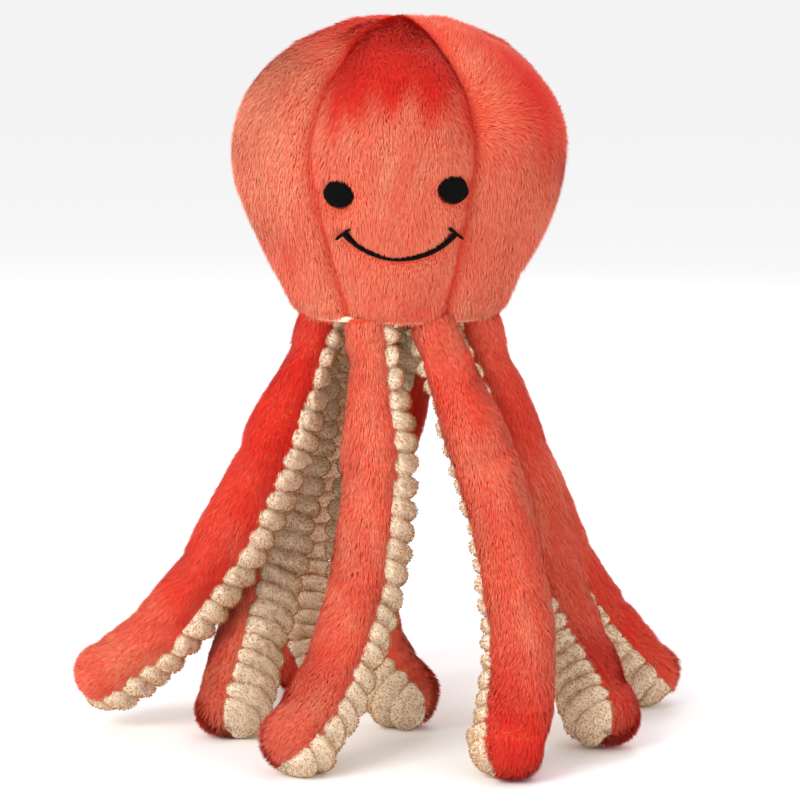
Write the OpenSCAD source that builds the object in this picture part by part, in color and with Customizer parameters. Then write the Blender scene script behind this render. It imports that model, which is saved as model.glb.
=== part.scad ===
// Plush octopus: a stuffed head of six gores on eight stuffed tentacles.
// Millimetres, +Z up. The origin is on the ground under the middle of the head, and the face looks
// along -Y. Azimuths are measured from the face, positive towards +X.

/* [Head] */
// Greatest radius of the stuffed head
head_r = 51.5; // [50:0.5:53]
// Height of the neck seam above the ground
neck_z = 132; // [131:0.5:133]
// Radius of the neck seam
neck_r = 33; // [32.5:0.5:33.5]
// Height of the widest ring above the neck seam
waist_h = 49; // [48:0.5:50]
// Height of the crown above the widest ring
crown_h = 43; // [42:0.5:44]
// Thickness of the plush fabric with its pile
plush_t = 2.4; // [1.8:0.1:3]
// Number of gores round the head
gore_count = 6; // [6]
// Azimuth of the seam at the left of the face
first_seam = -33; // [-36:1:-30]
// Width of the sewn seam between two gores
seam_w = 0.8; // [0.5:0.1:1.2]
// How far the seam is pulled in below the pile
seam_sink = 0.7; // [0.4:0.1:1]
// Thickness of the corduroy disc that closes the underside
base_t = 2; // [1.5:0.1:2.5]

/* [Face] */
// Diameter of an embroidered eye
eye_d = 9.4; // [8:0.1:10]
// How far the embroidery stands on the plush
stitch_t = 0.6; // [0.3:0.1:1]
// Width of the smile's satin stitch
smile_w = 1.5; // [1:0.1:2]
// Radius of the smile's curve
smile_r = 21.7; // [20:0.1:24]
// Distance between the two ends of the smile
smile_span = 33; // [30:1:35]
// Length of the short stitch across each end of the smile
dimple_l = 5.4; // [4:0.1:6]

/* [Tentacles] */
// Length of a tentacle along its middle
arm_l = 143; // [142:1:144]
// Distance of each tentacle's root from the head's middle
root_ring = 26; // [25.5:0.5:26.5]
// Half the width of a tentacle along most of its length
arm_w = 10.5; // [9.5:0.1:10.6]
// Depth of the plush back
back_d = 11; // [10:0.1:11.2]
// Depth of the corduroy sucker strip
sucker_d = 12; // [11:0.1:12.2]
// Radius of the rounded root, where the tentacle turns under the head
root_r = 8; // [7.5:0.1:8.2]
// Thickness of the corduroy
corduroy_t = 2.6; // [2:0.1:3]
// Length over which the root grows to the full width
grow_l = 34; // [30:1:40]
// Length of the rounded tip
tip_l = 11; // [9:1:13]

/* [Hidden] */

// Each tentacle's azimuth, then its lean from straight down, its swing towards greater azimuth and
// its twist, each at the root and at the tip, and how late the bend comes
TENTACLES = [
    [-71, [21, 56], [-1, -36], [0, -5], 2.3],
    [-21, [3, 58], [7, -17], [44, 40], 1.5],
    [23, [23, 28], [14, -37], [20, -50], 2.2],
    [65, [11, 50], [14, -47], [0, -75], 2.2],
    [121, [19, 49], [-4, -33], [0, -10], 3],
    [158, [-8, -45], [18, -72], [40, 60], 2.6],
    [204, [47, -49], [5, 6], [0, -40], 1.5],
    [251, [18, -6], [-13, 56], [0, 0], 1.1]];

CORAL = "#ee7a62";
RED = "#e2523f";
TAN = "#d9bf96";
BLACK = "#17120f";
WHITE = "#f2efe8";

// Where the eyes are, as seen from the front: sideways and height
EYE_LEFT = [-18, 170.6];
EYE_RIGHT = [15.6, 172];
SMILE_ENDS_Z = 159;
FACE_REACH = 70;

// The head's outline from the neck up to the widest ring bulges through these two points
BULGE_LOW = [5.5, 14];
BULGE_HIGH_Z = 33;
LOWER_STEPS = 12;
CROWN_STEPS = 14;

// Clearances at the root and at the middle bend, and how steeply the two halves taper there
ROOT_GAP = 1;
BEND_GAP = 0.4;
BEND_BACK_SLOPE = tan(65);
BEND_SUCKER_SLOPE = tan(78);
BEND_WIDTH = 0.55;
BEND_WIDTH_L = 5;
TIP_SCALE = 0.2;
CORE_SCALE = 0.3;

root_z = neck_z - base_t - ROOT_GAP;
arm_mid = arm_l / 2;
PATH_STEPS = 72;
path_step = arm_l / PATH_STEPS;
ARC = 6;

function mix(a, b, f) = a + (b - a) * f;
function smooth(f) = let (g = min(1, max(0, f))) g * g * (3 - 2 * g);

// Outline of the head from the neck to the crown, drawn inset from the outer skin
function bulge(a, b, c, d, f) =
    pow(1 - f, 3) * a + 3 * pow(1 - f, 2) * f * b + 3 * (1 - f) * f * f * c + pow(f, 3) * d;
function outline(inset) = concat(
    [for (i = [0:LOWER_STEPS])
        bulge([neck_r - inset, 0], [neck_r + BULGE_LOW[0] - inset, BULGE_LOW[1]],
              [head_r - inset, BULGE_HIGH_Z], [head_r - inset, waist_h], i / LOWER_STEPS)],
    [for (i = [1:CROWN_STEPS - 1])
        let (a = 90 * i / CROWN_STEPS)
        [(head_r - inset) * cos(a), waist_h + (crown_h - inset) * sin(a)]],
    [[0, waist_h + crown_h - inset]]);
function reversed(list) = [for (i = [len(list) - 1:-1:0]) list[i]];

// A wall of the head between two insets, as a flat section
module wall_section(outer, inner) {
    polygon(concat(outline(outer), reversed(outline(inner))));
}

// Turns the +X axis to an azimuth
function turn(azimuth) = azimuth - 90;

// One gore: a sector of the wall, cut back by half a seam at each side
module gore(index) {
    start = first_seam + index * 360 / gore_count;
    sector = 360 / gore_count;
    color(index % 2 == 0 ? CORAL : RED)
    translate([0, 0, neck_z])
    difference() {
        rotate([0, 0, turn(start)])
            rotate_extrude(angle = sector, $fn = 96) wall_section(0, plush_t);
        for (edge = [start, start + sector])
            rotate([0, 0, turn(edge)])
                translate([-1, -seam_w / 2, -1]) cube([head_r + 2, seam_w, waist_h + crown_h + 2]);
    }
}

// Six sewn seams that meet at the crown, sunk below the pile
module gore_seams() {
    color(RED)
    translate([0, 0, neck_z])
    for (i = [0:gore_count - 1])
        rotate([90, 0, turn(first_seam + i * 360 / gore_count)])
            translate([0, 0, -seam_w / 2])
                linear_extrude(seam_w) wall_section(seam_sink, plush_t);
}

module neck_base() {
    color(TAN) translate([0, 0, neck_z - base_t]) cylinder(r = neck_r - 0.5, h = base_t, $fn = 96);
}

module head_stuffing() {
    color(WHITE)
    translate([0, 0, neck_z])
        rotate_extrude($fn = 96) polygon(concat([[0, 0]], outline(plush_t)));
}

// Embroidery: a flat shape, drawn as seen from the front, laid on the skin of the head
module embroidered() {
    color(BLACK)
    intersection() {
        translate([0, 0, neck_z]) rotate_extrude($fn = 96) wall_section(-stitch_t, 0);
        rotate([90, 0, 0]) linear_extrude(FACE_REACH) children();
    }
}

module eye(place) {
    embroidered() translate(place) circle(d = eye_d, $fn = 48);
}

module smile() {
    rise = sqrt(smile_r * smile_r - smile_span * smile_span / 4);
    centre_z = SMILE_ENDS_Z + rise;
    embroidered() {
        difference() {
            translate([0, centre_z]) circle(r = smile_r + smile_w / 2, $fn = 96);
            translate([0, centre_z]) circle(r = smile_r - smile_w / 2, $fn = 96);
            translate([-FACE_REACH, SMILE_ENDS_Z]) square([2 * FACE_REACH, FACE_REACH]);
        }
        for (side = [-1, 1])
            translate([side * smile_span / 2, SMILE_ENDS_Z])
                rotate(-side * 39) square([dimple_l, smile_w], center = true);
    }
}

// Directions round a tentacle's root: outward, sideways and up
function outward(k) = let (a = TENTACLES[k][0]) [sin(a), -cos(a), 0];
function sideways(k) = let (a = TENTACLES[k][0]) [cos(a), sin(a), 0];
UP = [0, 0, 1];

function bend(k, row, s) = let (t = TENTACLES[k]) mix(t[row][0], t[row][1], pow(s / arm_l, t[4]));

// Along the tentacle, across it, and out of its back, at a distance s from the root
function fall(k, s) = let (a = bend(k, 1, s)) sin(a) * outward(k) - cos(a) * UP;
function along(k, s) = let (b = bend(k, 2, s)) cos(b) * fall(k, s) + sin(b) * sideways(k);
function flat_across(k, s) = let (b = bend(k, 2, s)) cos(b) * sideways(k) - sin(b) * fall(k, s);
function flat_back(k, s) = cross(along(k, s), flat_across(k, s));
function across(k, s) =
    let (t = bend(k, 3, s)) cos(t) * flat_across(k, s) + sin(t) * flat_back(k, s);
function back(k, s) =
    let (t = bend(k, 3, s)) cos(t) * flat_back(k, s) - sin(t) * flat_across(k, s);

// Start of a tentacle, lower the more it leans, so that its round top stays clear of the neck;
// its middle line, and a point on it at a distance s from the root
function root_top(k) = root_ring * outward(k) + (root_z - root_r * (1 + along(k, 0)[2])) * UP;
function middle_line(k) = [
    for (i = 0, p = root_top(k); i <= PATH_STEPS;
         p = p + path_step * along(k, (i + 0.5) * path_step), i = i + 1) p];
function on_line(line, s) =
    let (i = min(PATH_STEPS - 1, floor(s / path_step)))
    mix(line[i], line[i + 1], s / path_step - i);

// Half width, back depth and sucker depth: a rounded root, a narrow fold at the middle bend where
// the two halves meet, and a rounded tip
function root_round(s) = s < root_r ? sqrt(max(0, 1 - pow(1 - s / root_r, 2))) : 1;
function tip_round(s) =
    let (e = (s - arm_l + tip_l) / tip_l) e > 0 ? max(TIP_SCALE, sqrt(max(0, 1 - e * e))) : 1;
function girth(full, s) = mix(root_r, full, smooth((s - root_r) / grow_l)) * tip_round(s);
function half_size(s) =
    let (x = abs(s - arm_mid), fold = mix(BEND_WIDTH, 1, smooth(x / BEND_WIDTH_L)))
    [girth(arm_w, s) * sqrt(root_round(s)) * fold,
     min(girth(back_d, s) * root_round(s), x * BEND_BACK_SLOPE),
     min(girth(sucker_d, s) * root_round(s), x * BEND_SUCKER_SLOPE)];

// Stations along each half, closer where the outline turns quickly
UPPER = [0.3, 1.2, 3, 5.5, 8, 15, 23, 31, 39, 48, 57, arm_mid - 7, arm_mid - 5, arm_mid - 3.6,
         arm_mid - 2.4, arm_mid - BEND_GAP];
LOWER = [arm_mid + BEND_GAP, arm_mid + 2.4, arm_mid + 3.6, arm_mid + 5, arm_mid + 7, 89, 98, 107,
         115, 123, arm_l - tip_l, arm_l - 7, arm_l - 4, arm_l - 2.2, arm_l - 1, arm_l - 0.2];

// A ring of points at a distance s: the angle runs from one side over the back to the other side,
// then over the suckers. The ground flattens what would pass through it.
function on_ground(p) = [p[0], p[1], max(0, p[2])];
function ring_point(k, line, s, a, size) =
    on_ground(on_line(line, s) + cos(a) * size[0] * across(k, s)
              + sin(a) * (sin(a) > 0 ? size[1] : size[2]) * back(k, s));
function core_size(size) =
    [for (i = [0:2]) size[i] * max(CORE_SCALE, 1 - (i == 2 ? corduroy_t : plush_t) / size[i])];

// Loop of a fabric piece at one station: along its outer face, then back along its inner face
function fabric_loop(k, line, s, first) = let (size = half_size(s), core = core_size(size)) concat(
    [for (i = [0:ARC]) ring_point(k, line, s, first + 180 * i / ARC, size)],
    [for (i = [ARC:-1:0]) ring_point(k, line, s, first + 180 * i / ARC, core)]);
function core_loop(k, line, s) = let (core = core_size(half_size(s)))
    [for (i = [0:2 * ARC - 1]) ring_point(k, line, s, 180 * i / ARC, core)];

// Side faces between rings of n points. The second part of a fabric loop runs the other way round,
// so its quads are split along the other diagonal and match the filling's.
function side_faces(rings, n, turned) = [
    for (i = [0:rings - 2], j = [0:n - 1])
        let (a = i * n + j, b = i * n + (j + 1) % n, c = b + n, d = a + n)
        each j < turned ? [[a, d, c], [a, c, b]] : [[a, d, b], [d, c, b]]];
function fabric_cap(o) = [
    for (i = [0:ARC - 1])
        let (a = o + i, b = a + 1, d = o + 2 * ARC + 1 - i, c = d - 1)
        each [[a, b, c], [a, c, d]]];
function core_cap(o) = [for (i = [1:2 * ARC - 2]) [o, o + i, o + i + 1]];
function flipped(faces) = [for (f = faces) reversed(f)];

module fabric_half(k, stations, first) {
    line = middle_line(k);
    n = 2 * ARC + 2;
    rings = len(stations);
    polyhedron(
        points = [for (s = stations) each fabric_loop(k, line, s, first)],
        faces = concat(side_faces(rings, n, ARC + 1), fabric_cap(0),
                       flipped(fabric_cap((rings - 1) * n))));
}

module filling_half(k, stations) {
    line = middle_line(k);
    n = 2 * ARC;
    rings = len(stations);
    polyhedron(
        points = [for (s = stations) each core_loop(k, line, s)],
        faces = concat(side_faces(rings, n, n), core_cap(0), flipped(core_cap((rings - 1) * n))));
}

module tentacle_piece(k, half, piece) {
    stations = half == "upper" ? UPPER : LOWER;
    if (piece == "back") color(k % 2 == 0 ? RED : CORAL) fabric_half(k, stations, 0);
    if (piece == "suckers") color(TAN) fabric_half(k, stations, 180);
    if (piece == "filling") color(WHITE) filling_half(k, stations);
}

gore(0);  // gore_front
gore(1);  // gore_front_right
gore(2);  // gore_back_right
gore(3);  // gore_back
gore(4);  // gore_back_left
gore(5);  // gore_front_left
neck_base();
head_stuffing();
gore_seams();
eye(EYE_LEFT);  // eye_left
eye(EYE_RIGHT);  // eye_right
smile();
for (k = [1:8], half = ["upper", "lower"], piece = ["back", "suckers", "filling"])
    tentacle_piece(k - 1, half, piece);
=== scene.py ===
"""Plush octopus: a head of six plush gores with an embroidered face, on eight stuffed tentacles
that are plush outside and corduroy inside. Metres, +Z up, the face looks along -Y."""

import math

import bmesh
import bpy
import numpy as np
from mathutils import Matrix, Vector


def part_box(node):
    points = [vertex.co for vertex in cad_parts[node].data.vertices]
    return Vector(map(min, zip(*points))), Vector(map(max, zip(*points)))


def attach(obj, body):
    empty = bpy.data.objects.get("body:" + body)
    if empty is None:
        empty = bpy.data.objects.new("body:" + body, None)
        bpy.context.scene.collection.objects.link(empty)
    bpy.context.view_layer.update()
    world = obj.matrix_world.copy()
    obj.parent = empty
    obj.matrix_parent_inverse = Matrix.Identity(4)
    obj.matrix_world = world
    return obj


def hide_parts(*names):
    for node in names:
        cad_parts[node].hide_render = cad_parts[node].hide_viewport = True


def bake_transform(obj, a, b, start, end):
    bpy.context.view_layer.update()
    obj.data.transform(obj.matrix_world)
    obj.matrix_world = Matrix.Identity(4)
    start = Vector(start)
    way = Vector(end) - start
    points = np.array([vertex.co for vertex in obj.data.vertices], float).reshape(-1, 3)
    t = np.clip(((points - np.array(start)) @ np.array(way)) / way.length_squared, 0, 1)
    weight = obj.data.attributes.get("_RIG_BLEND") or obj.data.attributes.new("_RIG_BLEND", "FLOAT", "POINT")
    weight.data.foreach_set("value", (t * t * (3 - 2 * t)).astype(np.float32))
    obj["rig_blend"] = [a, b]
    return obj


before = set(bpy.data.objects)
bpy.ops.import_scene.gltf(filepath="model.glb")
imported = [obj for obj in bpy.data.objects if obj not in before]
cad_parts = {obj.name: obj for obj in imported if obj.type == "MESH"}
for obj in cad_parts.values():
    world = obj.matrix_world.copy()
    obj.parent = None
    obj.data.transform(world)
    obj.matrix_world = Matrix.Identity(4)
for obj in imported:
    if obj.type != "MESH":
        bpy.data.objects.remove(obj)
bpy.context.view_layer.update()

bl_info = {
    "name": "Plush octopus",
    "version": (1, 0, 0),
    "blender": (4, 5, 0),
    "location": "View3D > Sidebar > Octopus",
    "description": "Makes a stuffed plush octopus with corduroy sucker strips, and its stage",
    "category": "Object",
}

MM = 0.001

# The gores in order round the head. The first begins at the seam that is left of the face's middle.
GORES = ("gore_front", "gore_front_right", "gore_back_right", "gore_back", "gore_back_left",
         "gore_front_left")
FIRST_SEAM = math.radians(-33)
GORE_ANGLE = math.tau / len(GORES)

# Folds that the gathering makes: gores round from the first seam, depth, and where along the gore
# the fold begins and is full
FOLDS = (
    (5.45, 1.3 * MM, 0.72, 0.86), (5.74, 1.1 * MM, 0.76, 0.88), (3.5, 0.9 * MM, 0.78, 0.9),
    (0.12, 1.2 * MM, 0.14, 0.04), (0.42, 0.8 * MM, 0.10, 0.02), (1.3, 0.9 * MM, 0.12, 0.03),
    (2.6, 0.9 * MM, 0.12, 0.03), (3.4, 0.8 * MM, 0.12, 0.03), (4.5, 0.9 * MM, 0.12, 0.03),
)

# Tentacles: azimuth, then lean, swing and twist in degrees at the root and at the tip, and how late
# the bend comes. They are the same as in the design.
TENTACLES = (
    (-71, (21, 56), (-1, -36), (0, -5), 2.3),
    (-21, (3, 58), (7, -17), (44, 40), 1.5),
    (23, (23, 28), (14, -37), (20, -50), 2.2),
    (65, (11, 50), (14, -47), (0, -75), 2.2),
    (121, (19, 49), (-4, -33), (0, -10), 3.0),
    (158, (-8, -45), (18, -72), (40, 60), 2.6),
    (204, (47, -49), (5, 6), (0, -40), 1.5),
    (251, (18, -6), (-13, 56), (0, 0), 1.1),
)
ARM_L, ROOT_RING, ROOT_R, GROW_L, TIP_L = 143 * MM, 26 * MM, 8 * MM, 34 * MM, 11 * MM
ARM_W, BACK_D, SUCKER_D = 10.5 * MM, 11 * MM, 12 * MM
ROOT_GAP = 1 * MM
# Painted shade: where each tentacle's pile stands up, its colour is painted a deeper red for the way such
# pile looks under the light: share of the length, spread and depth
RED_SHADE_PATCHES = {
    1: ((0.22, 0.30, 0.55), (0.62, 0.12, 0.25)),
    2: ((0.75, 0.08, 0.08),),
    3: ((0.93, 0.14, 0.45), (0.12, 0.12, 0.18), (0.55, 0.12, 0.12)),
    4: ((0.20, 0.25, 0.30), (0.85, 0.20, 0.30)),
    5: ((0.80, 0.25, 0.30),),
    6: ((0.35, 0.30, 0.60), (0.90, 0.12, 0.10)),
    7: ((0.80, 0.30, 0.25),),
    8: ((0.35, 0.20, 0.30),),
}
# How far a root goes up into the neck, and where its own skin hands over to the rest
TUCK, ROOT_END = 2.6 * MM, 30 * MM
# Share of a form that the stuffing simulation covers: it leaves out the very tip
FORM_SHARE = 0.985
UP = np.array((0.0, 0.0, 1.0))
# How close to the floor the skins are pressed, and how much of its own depth a layer keeps there
FLOOR_GAP = 0.3 * MM
PRESSED_SHARE = 0.3
# How many shades the tips of the plush have
TIP_SHADES = 6
THREAD_SIDES, THREAD_CUTS = 6, 6


# ---------------------------------------------------------------- small helpers

def smooth(f):
    g = np.clip(f, 0, 1)
    return g * g * (3 - 2 * g)


def mix(a, b, f):
    return a + (b - a) * f


def unit(v):
    return v / np.maximum(np.linalg.norm(v, axis=-1, keepdims=True), 1e-12)


def waves(points, size, seed, count=7):
    """Soft lumps between -1 and 1 in space: a few crossing sine waves with seeded directions."""
    rng = np.random.default_rng(seed)
    total = np.zeros(len(points))
    for _ in range(count):
        way = unit(rng.normal(size=3)) * math.tau / (size * rng.uniform(0.7, 1.5))
        total += np.sin(points @ way + rng.uniform(0, math.tau))
    return total / math.sqrt(count * 2)


def look_up(grid, rows, turns):
    """Reads a grid of vectors between its points: rows from 0 to 1, and turns that go round."""
    last, around = len(grid) - 1, len(grid[0])
    i = np.clip(np.asarray(rows) * last, 0, last)
    j = (np.asarray(turns) % 1) * around
    i0 = np.minimum(i.astype(int), last - 1)
    j0 = j.astype(int) % around
    f, g = (i - i0)[:, None], (j - np.floor(j))[:, None]
    j1 = (j0 + 1) % around
    return mix(mix(grid[i0, j0], grid[i0, j1], g), mix(grid[i0 + 1, j0], grid[i0 + 1, j1], g), f)


def linear(colour):
    """A display colour as the linear one that a shader takes."""
    return tuple(c / 12.92 if c <= 0.04045 else ((c + 0.055) / 1.055) ** 2.4 for c in colour)


def coordinates(mesh):
    co = np.empty(len(mesh.vertices) * 3)
    mesh.vertices.foreach_get("co", co)
    return co.reshape(-1, 3)


def place(mesh, co):
    mesh.vertices.foreach_set("co", np.ascontiguousarray(co).ravel())
    mesh.update()


def paint(mesh, name, values):
    """Stores one number, or one vector, for each point of the mesh."""
    values = np.asarray(values, np.float32)
    vector = values.ndim == 2
    attribute = mesh.attributes.new(name, "FLOAT_VECTOR" if vector else "FLOAT", "POINT")
    attribute.data.foreach_set("vector" if vector else "value", values.ravel())


def shade_smooth(mesh):
    mesh.polygons.foreach_set("use_smooth", np.ones(len(mesh.polygons), bool))


def add_object(name, mesh):
    piece = bpy.data.objects.new(name, mesh)
    bpy.context.scene.collection.objects.link(piece)
    return piece


def finish_mesh(bm, name):
    """Writes the bmesh to a new mesh and frees it."""
    mesh = bpy.data.meshes.new(name)
    bm.to_mesh(mesh)
    bm.free()
    return mesh


def ringed_tube(name, sides, cuts):
    """A closed tube of radius 1 and length 1 along Z, cut into rings, to be laid on other forms."""
    bm = bmesh.new()
    bmesh.ops.create_cone(bm, cap_ends=True, segments=sides, radius1=1, radius2=1, depth=1)
    rails = [e for e in bm.edges if abs(e.verts[0].co.z - e.verts[1].co.z) > 0.5]
    bmesh.ops.subdivide_edges(bm, edges=rails, cuts=cuts, use_grid_fill=True)
    return finish_mesh(bm, name)


def sheet_grid(name, columns, rows, surface):
    """A grid of cloth laid on surface(across, along), both from 0 to 1. Rows that meet in a point
    are closed."""
    bm = bmesh.new()
    bmesh.ops.create_grid(bm, x_segments=columns, y_segments=rows, size=0.5)
    mesh = bpy.data.meshes.new(name)
    bm.to_mesh(mesh)
    flat = coordinates(mesh) + 0.5
    place(mesh, surface(flat[:, 0], flat[:, 1]))
    paint(mesh, "across", flat[:, 0])
    paint(mesh, "along", flat[:, 1])
    bm.clear()
    bm.from_mesh(mesh)
    bmesh.ops.remove_doubles(bm, verts=bm.verts, dist=0.02 * MM)
    bm.to_mesh(mesh)
    bm.free()
    shade_smooth(mesh)
    return mesh


def read(mesh, name):
    values = np.empty(len(mesh.vertices), np.float32)
    mesh.attributes[name].data.foreach_get("value", values)
    return values


def apply_modifiers(piece):
    """The piece's modifiers become its mesh."""
    graph = bpy.context.evaluated_depsgraph_get()
    mesh = bpy.data.meshes.new_from_object(piece.evaluated_get(graph), depsgraph=graph)
    piece.modifiers.clear()
    piece.data = mesh


def thicken(piece, thickness):
    """Gives a sheet its thickness, inwards, with a closed edge."""
    wall = piece.modifiers.new("wall", "SOLIDIFY")
    wall.thickness = thickness
    wall.offset = -1
    wall.use_even_offset = False
    apply_modifiers(piece)


# ---------------------------------------------------------------- materials

def principled(name, colour, roughness, sheen=0.0, sheen_tint=(1, 1, 1), specular=0.3):
    material = bpy.data.materials.new(name)
    material.use_nodes = True
    shader = material.node_tree.nodes["Principled BSDF"]
    shader.inputs["Base Color"].default_value = (*linear(colour), 1)
    shader.inputs["Roughness"].default_value = roughness
    shader.inputs["Sheen Weight"].default_value = sheen
    shader.inputs["Sheen Roughness"].default_value = 0.5
    shader.inputs["Sheen Tint"].default_value = (*linear(sheen_tint), 1)
    shader.inputs["Specular IOR Level"].default_value = specular
    material.diffuse_color = (*linear(colour), 1)
    return material


class TreeBuilder:
    """Adds nodes to one node tree."""

    def __init__(self, tree):
        self.tree = tree

    def add(self, kind, **settings):
        node = self.tree.nodes.new(kind)
        for key, value in settings.items():
            setattr(node, key, value)
        return node


class Nodes(TreeBuilder):
    """Short ways to add and join the nodes of one material."""

    def __init__(self, material):
        super().__init__(material.node_tree)
        self.shader = self.tree.nodes["Principled BSDF"]

    def join(self, source, target):
        self.tree.links.new(source, target)

    def place(self):
        return self.add("ShaderNodeTexCoord").outputs["Object"]

    def attribute(self, name):
        return self.add("ShaderNodeAttribute", attribute_name=name).outputs["Fac"]

    def noise(self, scale, detail=3.0, roughness=0.6):
        node = self.add("ShaderNodeTexNoise")
        self.join(self.place(), node.inputs["Vector"])
        node.inputs["Scale"].default_value = scale
        node.inputs["Detail"].default_value = detail
        node.inputs["Roughness"].default_value = roughness
        return node.outputs["Fac"]

    def cells(self, scale, randomness=1.0):
        node = self.add("ShaderNodeTexVoronoi")
        self.join(self.place(), node.inputs["Vector"])
        node.inputs["Scale"].default_value = scale
        node.inputs["Randomness"].default_value = randomness
        return node.outputs["Distance"]

    def math(self, operation, a, b):
        node = self.add("ShaderNodeMath", operation=operation)
        for socket, value in zip(node.inputs, (a, b)):
            if isinstance(value, (int, float)):
                socket.default_value = value
            else:
                self.join(value, socket)
        return node.outputs[0]

    def ramp(self, factor, stops):
        node = self.add("ShaderNodeValToRGB")
        elements = node.color_ramp.elements
        while len(elements) < len(stops):
            elements.new(0.5)
        for element, (position, colour) in zip(elements, stops):
            element.position = position
            element.color = (*linear(colour), 1)
        self.join(factor, node.inputs["Fac"])
        return node.outputs["Color"]

    def bump(self, height, strength, distance):
        node = self.add("ShaderNodeBump")
        node.inputs["Strength"].default_value = strength
        node.inputs["Distance"].default_value = distance
        self.join(height, node.inputs["Height"])
        self.join(node.outputs["Normal"], self.shader.inputs["Normal"])


def backing_material(settings):
    """Knitted backing of the plush, seen between the fibres."""
    material = principled("plush_backing", settings.root_colour, 0.95, 0.3, settings.tip_colour,
                          0.1)
    nodes = Nodes(material)
    grain = nodes.noise(900, 2.0)
    deep = tuple(0.92 * c for c in settings.root_colour)
    colour = nodes.ramp(grain, ((0.3, deep), (0.7, settings.root_colour)))
    nodes.join(colour, nodes.shader.inputs["Base Color"])
    nodes.bump(grain, 0.8, 0.3 * MM)
    return material


def corduroy_material(settings):
    """Corduroy: pale tufted crests, and valleys painted brown as shade, with a mottle of tufts and gaps."""
    material = principled("corduroy", settings.crest_colour, 0.95, 0.05, (1, 0.95, 0.85), 0.15)
    nodes = Nodes(material)
    tufts = nodes.cells(1250)
    blotch = nodes.noise(420, 2.0)
    height = nodes.math("MULTIPLY", nodes.math("SUBTRACT", 0.85, tufts), 0.8)
    speckle = nodes.math("ADD", nodes.math("MULTIPLY", height, 0.22),
                         nodes.math("MULTIPLY", blotch, 0.8))
    crest = nodes.attribute("crest")
    shade = nodes.math("ADD", nodes.math("MULTIPLY", crest, 0.55),
                       nodes.math("MULTIPLY", speckle, 0.55))
    # Painted shade: the colour darkens from the crests down into the valleys
    colour = nodes.ramp(shade, ((0.18, settings.valley_shade_colour), (0.5, settings.cord_colour),
                                (0.92, settings.crest_colour)))
    nodes.join(colour, nodes.shader.inputs["Base Color"])
    nodes.bump(speckle, 0.9, 0.5 * MM)
    return material


def thread_material(name, colour):
    """Embroidery thread: a fine twist along every strand, with a soft gloss."""
    material = principled(name, colour, 0.6, 0.0, (0.7, 0.7, 0.75), 0.08)
    nodes = Nodes(material)
    grain = nodes.noise(2600, 2.0)
    lighter = tuple(min(1.0, c * 1.3 + 0.01) for c in colour)
    twist = nodes.ramp(grain, ((0.35, colour), (0.75, lighter)))
    nodes.join(twist, nodes.shader.inputs["Base Color"])
    nodes.bump(grain, 0.6, 0.15 * MM)
    return material


# ---------------------------------------------------------------- the head's surface

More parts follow.
